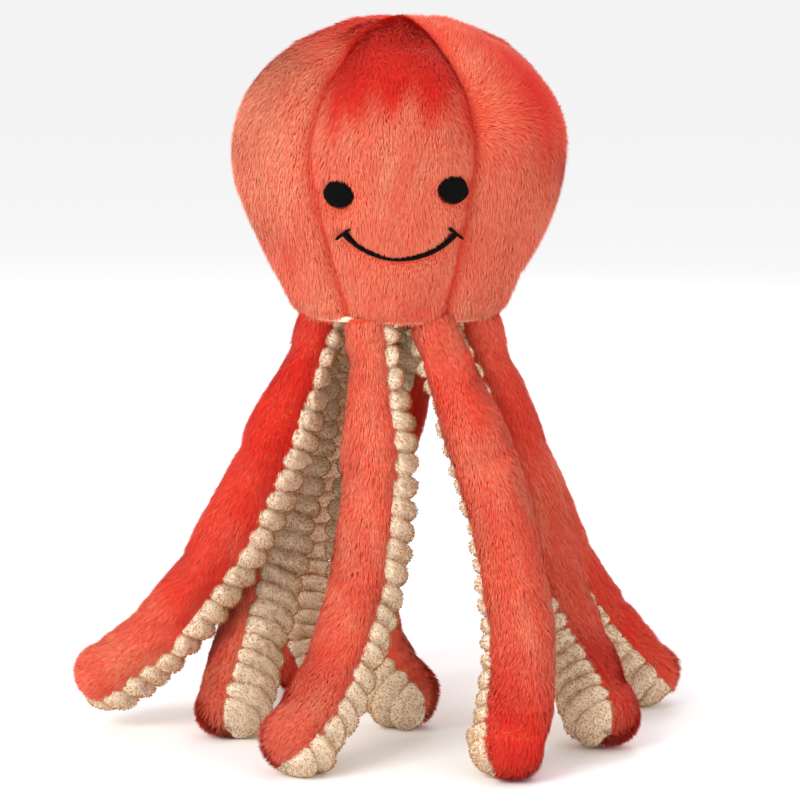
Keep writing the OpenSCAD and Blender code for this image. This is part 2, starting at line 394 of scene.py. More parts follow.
class Head:
    """The stuffed head as a turned outline with sunk seams."""

    # Height of the widest ring over the neck
    WAIST = 49 * MM
    SEAM_WIDTH, SEAM_DEPTH = 2.2 * MM, 1.9 * MM
    # How far a gore rises between its seams, and how far from a seam it is full
    SWELL, SWELL_REACH = 0.9 * MM, 18 * MM
    FOLD_WIDTH = 1.8 * MM

    def __init__(self):
        low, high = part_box("gore_front")
        self.neck_z, self.crown_z, self.radius = low[2], high[2], -low[1]
        self.neck_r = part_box("neck_base")[1][0] + 0.5 * MM
        waist = self.WAIST
        f = np.linspace(0, 1, 60)[:, None]
        corners = np.array(((self.neck_r, 0), (self.neck_r + 5.5 * MM, 14 * MM),
                            (self.radius, 33 * MM), (self.radius, waist)))
        lower = ((1 - f) ** 3 * corners[0] + 3 * (1 - f) ** 2 * f * corners[1]
                 + 3 * (1 - f) * f * f * corners[2] + f ** 3 * corners[3])
        a = np.linspace(0, math.pi / 2, 90)[1:]
        crown = self.crown_z - self.neck_z - waist
        upper = np.stack((self.radius * np.cos(a), waist + crown * np.sin(a)), 1)
        line = np.concatenate((lower, upper))
        steps = np.concatenate(([0], np.cumsum(np.linalg.norm(np.diff(line, axis=0), axis=1))))
        self.length = steps[-1]
        self.share = steps / self.length
        self.r, self.z = line[:, 0], line[:, 1] + self.neck_z
        slope = np.gradient(line, axis=0)
        self.out_r, self.out_z = unit(np.stack((slope[:, 1], -slope[:, 0]), 1)).T
        self.puff = np.zeros((2, 2, 3))

    def at(self, azimuth, up, lift=0.0):
        """The point at an azimuth and a share of the way from neck to crown, with its normal."""
        r = np.interp(up, self.share, self.r)
        z = np.interp(up, self.share, self.z)
        out_r = np.interp(up, self.share, self.out_r)
        out_z = np.interp(up, self.share, self.out_z)
        side = np.stack((np.sin(azimuth), -np.cos(azimuth)), -1)
        normal = unit(np.concatenate((side * out_r[:, None], out_z[:, None]), 1))
        point = np.concatenate((side * r[:, None], z[:, None]), 1)
        return point + normal * np.reshape(lift, (-1, 1)), normal

    def seam_distance(self, azimuth, up):
        """How far a point is from the nearest seam, over the surface."""
        turn = (azimuth - FIRST_SEAM) / GORE_ANGLE
        away = np.abs(turn - np.round(turn)) * GORE_ANGLE
        return away * np.interp(up, self.share, self.r)

    def puffed(self, azimuth, up):
        """How far the stuffing has moved the skin there."""
        return look_up(self.puff, up / FORM_SHARE, azimuth / math.tau)

    def skin(self, azimuth, up, under):
        """The plush backing: under the pile, puffed between the seams and lumpy with stuffing."""
        gap = self.seam_distance(azimuth, up)
        r = np.interp(up, self.share, self.r)
        seam = np.exp(-((gap / self.SEAM_WIDTH) ** 2)) * smooth(r / (14 * MM))
        point, normal = self.at(azimuth, up)
        lumps = waves(point, 34 * MM, 5) * 0.5 * MM
        for share, depth, start, end in FOLDS:
            bearing = azimuth - FIRST_SEAM - share * GORE_ANGLE
            away = np.abs((bearing + math.pi) % math.tau - math.pi) * r
            fold = depth * np.exp(-((away / self.FOLD_WIDTH) ** 2))
            lumps = lumps - fold * smooth((up - start) / (end - start))
        point = point + self.puffed(azimuth, up)
        lift = (-under - self.SEAM_DEPTH * seam + self.SWELL * smooth(gap / self.SWELL_REACH)
                + lumps)
        return point + normal * lift[:, None]

    def face_point(self, x, z, lift=0.0):
        """The point of the face straight behind (x, z) as seen from the front, with its normal."""
        up = np.interp(z, self.z, self.share)
        r = np.interp(up, self.share, self.r)
        azimuth = np.arcsin(np.clip(np.asarray(x) / r, -1, 1))
        return self.at(azimuth, up, lift)


head = Head()


# ---------------------------------------------------------------- the tentacles' surface

class Tentacle:
    """One tentacle: its middle line and the frames across it."""

    STEPS = 288

    def __init__(self, number, azimuth, lean, swing, twist, late):
        self.number = number
        self.upper, self.lower = f"tentacle_{number}_upper", f"tentacle_{number}_lower"
        a = math.radians(azimuth)
        self.out = np.array((math.sin(a), -math.cos(a), 0))
        self.side = np.array((math.cos(a), math.sin(a), 0))
        step = ARM_L / self.STEPS
        self.s = np.arange(self.STEPS + 1) * step
        weight = ((self.s / ARM_L) ** late)[:, None]
        self.along, self.across, self.back = self.frames(lean, swing, twist, weight)
        middle = (((self.s[:-1] + step / 2) / ARM_L) ** late)[:, None]
        moves = self.frames(lean, swing, twist, middle)[0] * step
        root_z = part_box("neck_base")[0][2] - ROOT_GAP
        self.puff = np.zeros((2, 2, 3))
        start = ROOT_RING * self.out + (root_z - ROOT_R * (1 + self.along[0, 2])) * UP
        self.line = start + np.concatenate((np.zeros((1, 3)), np.cumsum(moves, axis=0)))
        self.s = np.concatenate(([-TUCK], self.s))
        self.line = np.concatenate((self.line[:1] - self.along[:1] * TUCK, self.line))
        self.along, self.across, self.back = (np.concatenate((t[:1], t))
                                              for t in (self.along, self.across, self.back))

    def frames(self, lean, swing, twist, weight):
        a, b, t = (np.radians(mix(pair[0], pair[1], weight)) for pair in (lean, swing, twist))
        fall = np.sin(a) * self.out - np.cos(a) * UP
        along = np.cos(b) * fall + np.sin(b) * self.side
        across = np.cos(b) * self.side - np.sin(b) * fall
        back = np.cross(along, across)
        return along, np.cos(t) * across + np.sin(t) * back, np.cos(t) * back - np.sin(t) * across

    def pick(self, table, s):
        return np.stack([np.interp(s, self.s, table[:, i]) for i in range(3)], 1)

    def at(self, s, angle, lift=0.0):
        """The point of the skin at a distance s along and an angle round: 0 and 180 degrees are the
        two sides, 90 the middle of the back and 270 the middle of the suckers."""
        tip = np.clip((s - ARM_L + TIP_L) / TIP_L, 0, 1)
        rounding = np.sqrt(np.maximum(0, 1 - tip ** 2))
        grown = smooth((s - ROOT_R) / GROW_L)
        width = (mix(ROOT_R, ARM_W, grown) + lift) * rounding
        depth = np.where(np.sin(angle) > 0, BACK_D, SUCKER_D)
        depth = (mix(ROOT_R, depth, grown) + lift) * rounding
        reach = lift * tip ** 2
        along, across = self.pick(self.along, s), unit(self.pick(self.across, s))
        back = unit(self.pick(self.back, s))
        moved = look_up(self.puff, (s + TUCK) / (ARM_L + TUCK) / FORM_SHARE, angle / math.tau)
        point = (self.pick(self.line, s) + moved + along * np.reshape(reach, (-1, 1))
                 + across * (width * np.cos(angle))[:, None]
                 + back * (depth * np.sin(angle))[:, None])
        point[:, 2] = np.maximum(point[:, 2], FLOOR_GAP - np.reshape(lift, -1) * PRESSED_SHARE)
        return point

    def span(self, start, end):
        """The points of the middle line at two distances, between which a skin bends."""
        return [tuple(point) for point in self.pick(self.line, np.array((start, end)))]


tentacles = [Tentacle(i + 1, *row) for i, row in enumerate(TENTACLES)]


# ---------------------------------------------------------------- fibres

def fibre_blade(name, waist, bow):
    """One fibre of length 1 and width 1: a kite of two triangles that bows outwards, root at the
    origin. The face attribute tip is 1 on the outer triangle."""
    bm = bmesh.new()
    bmesh.ops.create_circle(bm, cap_ends=True, segments=4, radius=1)
    corners = {}
    for vert in bm.verts:
        x, y = round(vert.co.x), round(vert.co.y)
        corners["root" if y < 0 else "tip" if y > 0 else "left" if x < 0 else "right"] = vert
    bmesh.ops.connect_verts(bm, verts=[corners["left"], corners["right"]])
    corners["root"].co = (0, 0, 0)
    corners["tip"].co = (0, 0, 1)
    corners["left"].co = (-0.5, bow, waist)
    corners["right"].co = (0.5, bow, waist)
    bmesh.ops.reverse_faces(bm, faces=bm.faces)
    outer = bm.faces.layers.float.new("tip")
    for face in bm.faces:
        face[outer] = float(corners["tip"] in face.verts)
    return add_object(name, finish_mesh(bm, name))


class Fields(TreeBuilder):
    """Short ways to add and join geometry nodes."""

    def feed(self, socket, value):
        if isinstance(value, bpy.types.NodeSocket):
            self.tree.links.new(value, socket)
        else:
            socket.default_value = value

    def named(self, name, vector=False):
        kind = "FLOAT_VECTOR" if vector else "FLOAT"
        node = self.add("GeometryNodeInputNamedAttribute", data_type=kind)
        node.inputs["Name"].default_value = name
        return node.outputs["Attribute"]

    def math(self, operation, a, b=0.0):
        node = self.add("ShaderNodeMath", operation=operation)
        self.feed(node.inputs[0], a)
        self.feed(node.inputs[1], b)
        return node.outputs[0]

    def vector(self, operation, a, b=None, scale=None):
        node = self.add("ShaderNodeVectorMath", operation=operation)
        self.feed(node.inputs[0], a)
        if b is not None:
            self.feed(node.inputs[1], b)
        if scale is not None:
            self.feed(node.inputs["Scale"], scale)
        return node.outputs[0]

    def random(self, low, high, seed):
        vector = isinstance(low, tuple)
        node = self.add("FunctionNodeRandomValue", data_type="FLOAT_VECTOR" if vector else "FLOAT")
        node.inputs[0 if vector else 2].default_value = low
        node.inputs[1 if vector else 3].default_value = high
        node.inputs["Seed"].default_value = seed
        return node.outputs[0 if vector else 1]

    def stored(self, geometry, name, value, kind="FLOAT"):
        """The geometry with the value kept on each of its points."""
        node = self.add("GeometryNodeStoreNamedAttribute", data_type=kind, domain="POINT")
        self.feed(node.inputs["Geometry"], geometry)
        node.inputs["Name"].default_value = name
        self.feed(node.inputs["Value"], value)
        return node.outputs["Geometry"]

    def aligned(self, rotation, axis, vector, pivot="AUTO"):
        node = self.add("FunctionNodeAlignRotationToVector", axis=axis, pivot_axis=pivot)
        if rotation is not None:
            self.feed(node.inputs["Rotation"], rotation)
        self.feed(node.inputs["Vector"], vector)
        return node.outputs["Rotation"]


# How unevenly fibres face, and the shortest and longest, and narrowest and widest, as shares
FACING = 0.15
SHORT, LONG, NARROW, WIDE = 0.72, 1.15, 0.75, 1.25


def pile_tree(name, blade, density, length, width, rise, scatter, seed, mottle=0.14):
    """Geometry nodes that grow fibres on a skin. The skin holds the attributes comb, cover, pile
    and tone: which way the pile lies, how much there is, how long it is and how light."""
    tree = bpy.data.node_groups.new(name, "GeometryNodeTree")
    tree.interface.new_socket("Geometry", in_out="INPUT", socket_type="NodeSocketGeometry")
    tree.interface.new_socket("Geometry", in_out="OUTPUT", socket_type="NodeSocketGeometry")
    f = Fields(tree)
    entry, out = f.add("NodeGroupInput"), f.add("NodeGroupOutput")
    points = f.add("GeometryNodeDistributePointsOnFaces", distribute_method="RANDOM")
    f.feed(points.inputs["Mesh"], entry.outputs[0])
    f.feed(points.inputs["Density"], f.math("MULTIPLY", f.named("cover"), density))
    points.inputs["Seed"].default_value = seed
    normal = points.outputs["Normal"]
    lay = f.vector("ADD", f.vector("SCALE", normal, scale=rise), f.named("comb", True))
    stray = f.random((-scatter,) * 3, (scatter,) * 3, seed + 1)
    way = f.vector("ADD", lay, stray)
    turned = f.aligned(None, "Z", way)
    facing = f.vector("ADD", normal, f.random((-FACING,) * 3, (FACING,) * 3, seed + 2))
    turned = f.aligned(turned, "Y", facing, "Z")
    long = f.math("MULTIPLY", f.named("pile"), f.random(SHORT * length, LONG * length, seed + 3))
    size = f.add("ShaderNodeCombineXYZ")
    f.feed(size.inputs[0], f.random(NARROW * width, WIDE * width, seed + 4))
    f.feed(size.inputs[1], long)
    f.feed(size.inputs[2], long)
    spread = f.math("ADD", f.named("tone"), f.random(-mottle, mottle, seed + 5))
    kept = f.stored(points.outputs["Points"], "shade", spread)
    kept = f.stored(kept, "skin_normal", normal, "FLOAT_VECTOR")
    source = f.add("GeometryNodeObjectInfo")
    source.inputs["Object"].default_value = blade
    source.inputs["As Instance"].default_value = True
    grown = f.add("GeometryNodeInstanceOnPoints")
    f.feed(grown.inputs["Points"], kept)
    f.feed(grown.inputs["Instance"], source.outputs["Geometry"])
    f.feed(grown.inputs["Rotation"], turned)
    f.feed(grown.inputs["Scale"], size.outputs[0])
    real = f.add("GeometryNodeRealizeInstances")
    f.feed(real.inputs[0], grown.outputs[0])
    f.feed(out.inputs[0], real.outputs[0])
    return tree


def soften(mesh):
    """Gives the fibres nearly the skin's normals, so that they shade as one pile."""
    normals = np.empty(len(mesh.vertices) * 3, np.float32)
    mesh.attributes["skin_normal"].data.foreach_get("vector", normals)
    shade_smooth(mesh)
    own = np.empty(len(mesh.vertices) * 3, np.float32)
    mesh.vertices.foreach_get("normal", own)
    soft = unit(normals.reshape(-1, 3) + 0.4 * own.reshape(-1, 3))
    mesh.normals_split_custom_set_from_vertices(soft.tolist())


def grow_fibres(name, skin, blade, materials, soft=True, **growth):
    """A new piece of real fibres on a skin's outer faces. The first material is for the roots and
    the others go from the darkest tips to the lightest."""
    base = add_object(name, skin.copy())
    grower = base.modifiers.new("pile", "NODES")
    grower.node_group = pile_tree(name, blade, **growth)
    apply_modifiers(base)
    mesh = base.data
    shade = read(mesh, "shade")
    corners = np.empty(len(mesh.loops), np.int32)
    mesh.loops.foreach_get("vertex_index", corners)
    outer = np.empty(len(mesh.polygons), np.float32)
    mesh.attributes["tip"].data.foreach_get("value", outer)
    tips = len(materials) - 1
    pick = 1 + np.clip((shade[corners[::3]] * tips).astype(int), 0, tips - 1)
    mesh.materials.clear()
    for material in materials:
        mesh.materials.append(material)
    mesh.polygons.foreach_set("material_index", np.where(outer > 0.5, pick, 0).astype(np.int32))
    if soft:
        soften(mesh)
    needed = ("position", "material_index", "custom_normal")
    spare = [a.name for a in mesh.attributes
             if a.name not in needed and not a.name.startswith(".") and not a.is_required]
    for attribute in spare:
        mesh.attributes.remove(mesh.attributes[attribute])
    mesh.update()
    return base


def shades(name, dark, light, count, roughness, sheen, sheen_tint):
    """Materials that go from a dark colour to a light one in even steps."""
    steps = [tuple(mix(a, b, i / (count - 1)) for a, b in zip(dark, light)) for i in range(count)]
    return [principled(f"{name}_{i + 1}", colour, roughness, sheen, sheen_tint, 0.2)
            for i, colour in enumerate(steps)]


# ---------------------------------------------------------------- threads

def thread_piece(name, threads, material):
    """One piece made of many threads, each a curve(t) giving points and normals for t from 0 to 1,
    and a radius. The two ends of a thread narrow as they go into the cloth."""
    straight = ringed_tube("thread", THREAD_SIDES, THREAD_CUTS)
    bm = bmesh.new()
    for _ in threads:
        bm.from_mesh(straight)
    bmesh.ops.recalc_face_normals(bm, faces=bm.faces)
    mesh = finish_mesh(bm, name)
    co = coordinates(mesh).reshape(len(threads), -1, 3)
    for i, (curve, radius) in enumerate(threads):
        x, y, t = co[i, :, :1], co[i, :, 1:2], co[i, :, 2] + 0.5
        centre, normal = curve(t)
        way = curve(np.minimum(t + 0.02, 1))[0] - curve(np.maximum(t - 0.02, 0))[0]
        thin = radius * (0.35 + 0.65 * np.sqrt(1 - (2 * t - 1) ** 4))[:, None]
        co[i] = centre + (unit(np.cross(way, normal)) * x + normal * y) * thin
    place(mesh, co.reshape(-1, 3))
    bpy.data.meshes.remove(straight)
    shade_smooth(mesh)
    mesh.materials.append(material)
    return add_object(name, mesh)


def satin_stitch(start, end, swell, sink=0.4 * MM):
    """A stitch over the face from start to end, both (x, z), raised in its middle by swell."""
    start, end = np.array(start), np.array(end)

    def curve(t):
        spot = mix(start[None, :], end[None, :], t[:, None])
        rise = swell * np.sqrt(np.maximum(0, 1 - (2 * t - 1) ** 2)) - sink
        return head.face_point(spot[:, 0], spot[:, 1], rise)

    return curve


# ---------------------------------------------------------------- settings

def colour_property(name, description, default):
    return bpy.props.FloatVectorProperty(name=name, description=description, default=default,
                                         subtype="COLOR", size=3, min=0, max=1)


def length_property(name, description, default):
    return bpy.props.FloatProperty(name=name, description=description, default=default,
                                   subtype="DISTANCE", unit="LENGTH")


class PlushSettings(bpy.types.PropertyGroup):
    """The plush cloth of the head and the tentacle backs."""

    pile_length: length_property("Pile length", "Length of the plush fibres", 3.6 * MM)
    fibre_width: length_property("Fibre width", "Width of one fibre at its middle", 0.28 * MM)
    density: bpy.props.FloatProperty(name="Density", description="Fibres for each square metre",
                                     default=8.5e6)
    root_colour: colour_property("Root colour", "Deep colour between the fibres",
                                 (0.91, 0.33, 0.23))
    # The tips run from dark to light: partly random, partly painted shade where the pile stands up and near
    # the crown and seams
    dark_colour: colour_property("Dark tips", "Tips where the pile stands towards you",
                                 (0.88, 0.15, 0.10))
    tip_colour: colour_property("Light tips", "Tips where the pile lies flat", (0.91, 0.575, 0.445))


class CorduroySettings(bpy.types.PropertyGroup):
    """The corduroy of the sucker strips."""

    rib_pitch: length_property("Rib pitch", "Distance from one rib to the next", 6.5 * MM)
    crest_colour: colour_property("Crest colour", "Tufts on top of the ribs", (0.83, 0.63, 0.43))
    cord_colour: colour_property("Cord colour", "Sides of the ribs", (0.62, 0.40, 0.22))
    # Painted shade: the dark brown of the valleys
    valley_shade_colour: colour_property("Valley colour", "Valleys between the ribs", (0.36, 0.18, 0.07))
    density: bpy.props.FloatProperty(name="Tuft density", description="Tufts for each square metre",
                                     default=2.7e6)


class FaceSettings(bpy.types.PropertyGroup):
    """The embroidered face."""

    eye_size: length_property("Eye diameter", "Diameter of an embroidered eye", 9.0 * MM)
    smile_width: length_property("Smile width", "Width of the smile's satin stitch", 1.55 * MM)
    thread_width: length_property("Thread width", "Width of one strand", 0.42 * MM)
    thread_colour: colour_property("Thread colour", "Colour of the embroidery", (0.012, 0.01, 0.01))


class StageSettings(bpy.types.PropertyGroup):
    """Camera and light."""

    distance: length_property("Camera distance", "From the middle of the toy", 0.95)
    elevation: bpy.props.FloatProperty(name="Camera elevation", description="Above the horizon",
                                       default=math.radians(7.5), subtype="ANGLE", unit="ROTATION")
    aim_height: length_property("Aim height", "Height that the camera looks at", 0.103)
    lens: bpy.props.FloatProperty(name="Lens", description="Focal length in millimetres",
                                  default=135.9)


class OctopusSettings(bpy.types.PropertyGroup):
    """All the settings of the toy."""

    plush: bpy.props.PointerProperty(type=PlushSettings)
    corduroy: bpy.props.PointerProperty(type=CorduroySettings)
    face: bpy.props.PointerProperty(type=FaceSettings)
    stage: bpy.props.PointerProperty(type=StageSettings)


def settings():
    return bpy.context.scene.octopus


def shared(name, make):
    """A material that several pieces use, made once."""
    return bpy.data.materials.get(name) or make()


def plush_materials():
    plush = settings().plush
    if "plush_root" not in bpy.data.materials:
        principled("plush_root", plush.root_colour, 0.9, 0.0, plush.tip_colour, 0.1)
        shades("plush_tip", plush.dark_colour, plush.tip_colour, TIP_SHADES, 0.75, 0.12,
               (1, 0.75, 0.68))
    names = ["plush_root"] + [f"plush_tip_{i + 1}" for i in range(TIP_SHADES)]
    return [bpy.data.materials[name] for name in names]


# Where the face's stitches are: sideways and height
EYE_LEFT, EYE_RIGHT = (-18 * MM, 170.6 * MM), (15.6 * MM, 172 * MM)
SMILE_RADIUS, SMILE_SPAN, SMILE_TOP = 21.7 * MM, 33 * MM, 159 * MM
DIMPLE_L, DIMPLE_TILT = 5.4 * MM, math.radians(39)
# How near the middle of an eye and of the smile's line the pile ends, and how far past its ends
EYE_BARE, SMILE_BARE, SMILE_PAST = 4.1 * MM, 0.6 * MM, 0.03


def smile_spot(angle, off=0.0):
    """A point of the smile's curve: the angle is from straight down, towards +X."""
    centre_z = SMILE_TOP + math.sqrt(SMILE_RADIUS ** 2 - SMILE_SPAN ** 2 / 4)
    r = SMILE_RADIUS + off
    return np.array((r * math.sin(angle), centre_z - r * math.cos(angle)))


SMILE_HALF = math.asin(SMILE_SPAN / 2 / SMILE_RADIUS)


def face_gap(points):
    """How far points of the head are from the edge of the embroidery, seen from the front."""
    flat = points[:, (0, 2)]
    gap = np.full(len(points), 1.0)
    for eye in (EYE_LEFT, EYE_RIGHT):
        gap = np.minimum(gap, np.linalg.norm(flat - eye, axis=1) - EYE_BARE)
    off = flat - (smile_spot(0) + (0, SMILE_RADIUS))
    bearing = np.arctan2(off[:, 0], -off[:, 1])
    curve = np.abs(np.linalg.norm(off, axis=1) - SMILE_RADIUS)
    past = SMILE_RADIUS * np.maximum(0, np.abs(bearing) - SMILE_HALF - SMILE_PAST)
    gap = np.minimum(gap, np.hypot(curve, past) - SMILE_BARE)
    return np.where(points[:, 1] < 0, gap, 1.0)


# Painted shade: how much redder the pile of each gore is painted near the crown, and from which share of the
# way up
CROWN_RED_SHADE = ((0.72, 0.47), (0.05, 0.6), (0.4, 0.6), (0.1, 0.6), (0.4, 0.62), (0.45, 0.66))
# Painted shade, and painted highlight where the depth is below 0: where the pile of each gore is painted a
# deeper red or lighter: across, its spread, up, its spread, and depth
GORE_SHADE_AND_HIGHLIGHT = ((0.95, 0.2, 0.8, 0.15, 0.3), (0.55, 0.3, 0.6, 0.16, 0.62), (0.5, 0.4, 0.5, 0.3, 0.3),
              (0.3, 0.4, 0.6, 0.2, 0.3), (0.6, 0.4, 0.4, 0.2, 0.25), (0.35, 0.5, 0.55, 0.3, -0.16))
# How far the pile of each gore is brushed round from straight down, above the middle
NAP_TURN = (0.0, 2.4, 0.0, 2.0, 0.0, 0.0)


class Stuff(bpy.types.Operator):
    """Blow up the cloth of the head and tentacles, as the stuffing does"""

    bl_idname = "octopus.stuff"
    bl_label = "Stuffing"

    ROWS, AROUND = 60, 24
    FRAMES = 20
    PRESSURE = 4.0
    MOST = 1.2 * MM
    # The cloth is worked out ten times larger, and is cut this much larger than the form it covers
    SCALE = 10
    EASE = 0.05
    # The ends are sewn: all rows below the first share and above the second
    SEWN_ENDS = (0.02, 0.97)

    def execute(self, context):
        rows = np.linspace(0, 1, self.ROWS)[:, None] + np.zeros((1, self.AROUND))
        turns = np.arange(self.AROUND)[None, :] / self.AROUND + np.zeros((self.ROWS, 1))
        flat, round_ = rows.ravel() * FORM_SHARE, turns.ravel() * math.tau
        ends = (flat < self.SEWN_ENDS[0]) | (flat > self.SEWN_ENDS[1])
        sides = ends | (np.abs(np.sin(round_)) < 0.01)
        forms = [(arm, arm.at(flat * (ARM_L + TUCK) - TUCK, round_, -MakeTentacles.UNDER), sides)
                 for arm in tentacles]
        near = 0.5 * math.tau / self.AROUND * head.radius
        seams = ends | (head.seam_distance(round_, flat) < near)
        forms.append((head, head.skin(round_, flat, MakeGores.UNDER), seams))
        for form, start, sewn in forms:
            moved = self.blow_up(start, sewn) - start
            grid = moved.reshape(self.ROWS, self.AROUND, 3)
            grid = grid - grid.mean(axis=1, keepdims=True)
            rings = start.reshape(grid.shape)
            outward = unit(rings - rings.mean(axis=1, keepdims=True))
            grid = grid - outward * (grid * outward).sum(axis=2).mean()
            far = np.linalg.norm(grid, axis=2, keepdims=True)
            form.puff = grid * np.minimum(1, self.MOST / np.maximum(far, 1e-9))
        return {"FINISHED"}

    def blow_up(self, start, sewn):
        """Cloth simulation of one closed form, given as rows of points that go round. Points that
        are sewn down stay where they are."""
        mesh = ringed_tube("form", self.AROUND, self.ROWS - 2)
        co = coordinates(mesh)
        row = np.rint((co[:, 2] + 0.5) * (self.ROWS - 1)).astype(int)
        turn = np.rint(np.arctan2(co[:, 1], co[:, 0]) / math.tau * self.AROUND).astype(int)
        turn = turn % self.AROUND
        order = row * self.AROUND + turn
        place(mesh, self.SCALE * start[order])
        form = add_object("form", mesh)
        held = np.flatnonzero(sewn[order]).tolist()
        form.vertex_groups.new(name="sewn").add(held, 1, "REPLACE")
        cloth = form.modifiers.new("cloth", "CLOTH")
        cloth.settings.use_pressure = True
        cloth.settings.uniform_pressure_force = self.PRESSURE
        cloth.settings.effector_weights.gravity = 0
        cloth.settings.quality = 5
        cloth.settings.tension_stiffness = cloth.settings.compression_stiffness = 15
        cloth.settings.bending_stiffness = 0.2
        cloth.settings.mass = 0.1
        cloth.settings.shrink_min = -self.EASE
        cloth.settings.vertex_group_mass = "sewn"
        cloth.point_cache.frame_start, cloth.point_cache.frame_end = 1, self.FRAMES
        for number in range(1, self.FRAMES + 1):
            bpy.context.scene.frame_set(number)
        apply_modifiers(form)
        blown = np.empty_like(start)
        blown[order] = coordinates(form.data) / self.SCALE
        bpy.data.objects.remove(form)
        bpy.context.scene.frame_set(1)
        if not np.isfinite(blown).all():
            raise RuntimeError("the stuffing's cloth simulation failed")
        return blown


class MakeGores(bpy.types.Operator):
    """Make the six plush gores of the head, each with its pile"""

    bl_idname = "octopus.make_gores"
    bl_label = "Gores"

    UNDER = 1.6 * MM
    WALL = 1.0 * MM

    def execute(self, context):
        plush = settings().plush
        backing = shared("plush_backing", lambda: backing_material(plush))
        blade = fibre_blade("head_fibre", 0.45, 0.10)
        for index, node in enumerate(GORES):
            start = FIRST_SEAM + index * GORE_ANGLE
            skin = sheet_grid(node + "_plush", 52, 110, lambda x, y: head.skin(
                start + x * GORE_ANGLE, y, self.UNDER))
            self.comb(skin, start, index)
            pile = grow_fibres(node + "_pile", skin, blade, plush_materials(),
                               density=plush.density, length=plush.pile_length,
                               width=plush.fibre_width, rise=0.5, scatter=0.18,
                               seed=10 * index + 1)
            piece = add_object(node + "_plush", skin)
            skin.materials.append(backing)
            thicken(piece, self.WALL)
            for part in (piece, pile):
                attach(part, "head")
            if index:
                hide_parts(node)
            else:
                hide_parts(node, "head_stuffing")
        bpy.data.objects.remove(blade)
        return {"FINISHED"}

    def comb(self, skin, start, index):
        """Sets how the pile of one gore lies: down it, swirling a little, with soft patches."""
        across, up = read(skin, "across"), read(skin, "along")
        azimuth = start + across * GORE_ANGLE
        points = coordinates(skin)
        ahead, _ = head.at(azimuth, np.minimum(up + 0.01, 1))
        behind, _ = head.at(azimuth, np.maximum(up - 0.01, 0))
        down = unit(behind - ahead)
        side = np.stack((np.cos(azimuth), np.sin(azimuth), np.zeros(len(azimuth))), 1)
        swirl = waves(points, 22 * MM, 31 + index) * 0.35
        turn = NAP_TURN[index] * smooth((up - 0.35) / 0.3)
        way = down * np.cos(turn)[:, None] + side * np.sin(turn)[:, None]
        paint(skin, "comb", way + side * swirl[:, None])
        clear = face_gap(points)
        paint(skin, "cover", smooth(clear / (0.8 * MM)))
        gap = head.seam_distance(azimuth, up)
        pile = (0.62 + 0.38 * smooth(gap / (5 * MM))) * (0.35 + 0.65 * smooth(clear / (4 * MM)))
        paint(skin, "pile", pile + 0.06 * waves(points, 9 * MM, 41))
        paint(skin, "tone", self.tone(index, across, up, gap, points))

    def tone(self, index, across, up, gap, points):
        """How light the pile looks: random streaks and patches, with painted shade that makes it redder by
        the crown and in the seams, lighter lower down, and each gore's painted shade or highlight.
        """
        streaks = 0.06 * waves(points * (1, 1, 0.35), 7 * MM, 51 + index)
        patches = 0.07 * waves(points, 26 * MM, 61 + index)
        # Painted shade: the pile is painted redder towards the crown
        deep, begin = CROWN_RED_SHADE[index]
        ragged = 0.05 * waves(points * (1, 1, 0.5), 9 * MM, 71)
        crown = deep * smooth((up - begin + ragged) / 0.2)
        # Painted shade or, with a depth below 0, painted highlight on part of the gore
        middle, width, height, spread, depth = GORE_SHADE_AND_HIGHLIGHT[index]
        shade = depth * np.exp(-(((across - middle) / width) ** 2) - ((up - height) / spread) ** 2)
        # Painted shade: the pile is painted redder in the seam grooves
        seam = 0.35 * np.exp(-((gap / (1.6 * MM)) ** 2))
        return 0.68 + streaks + patches - crown - seam - shade


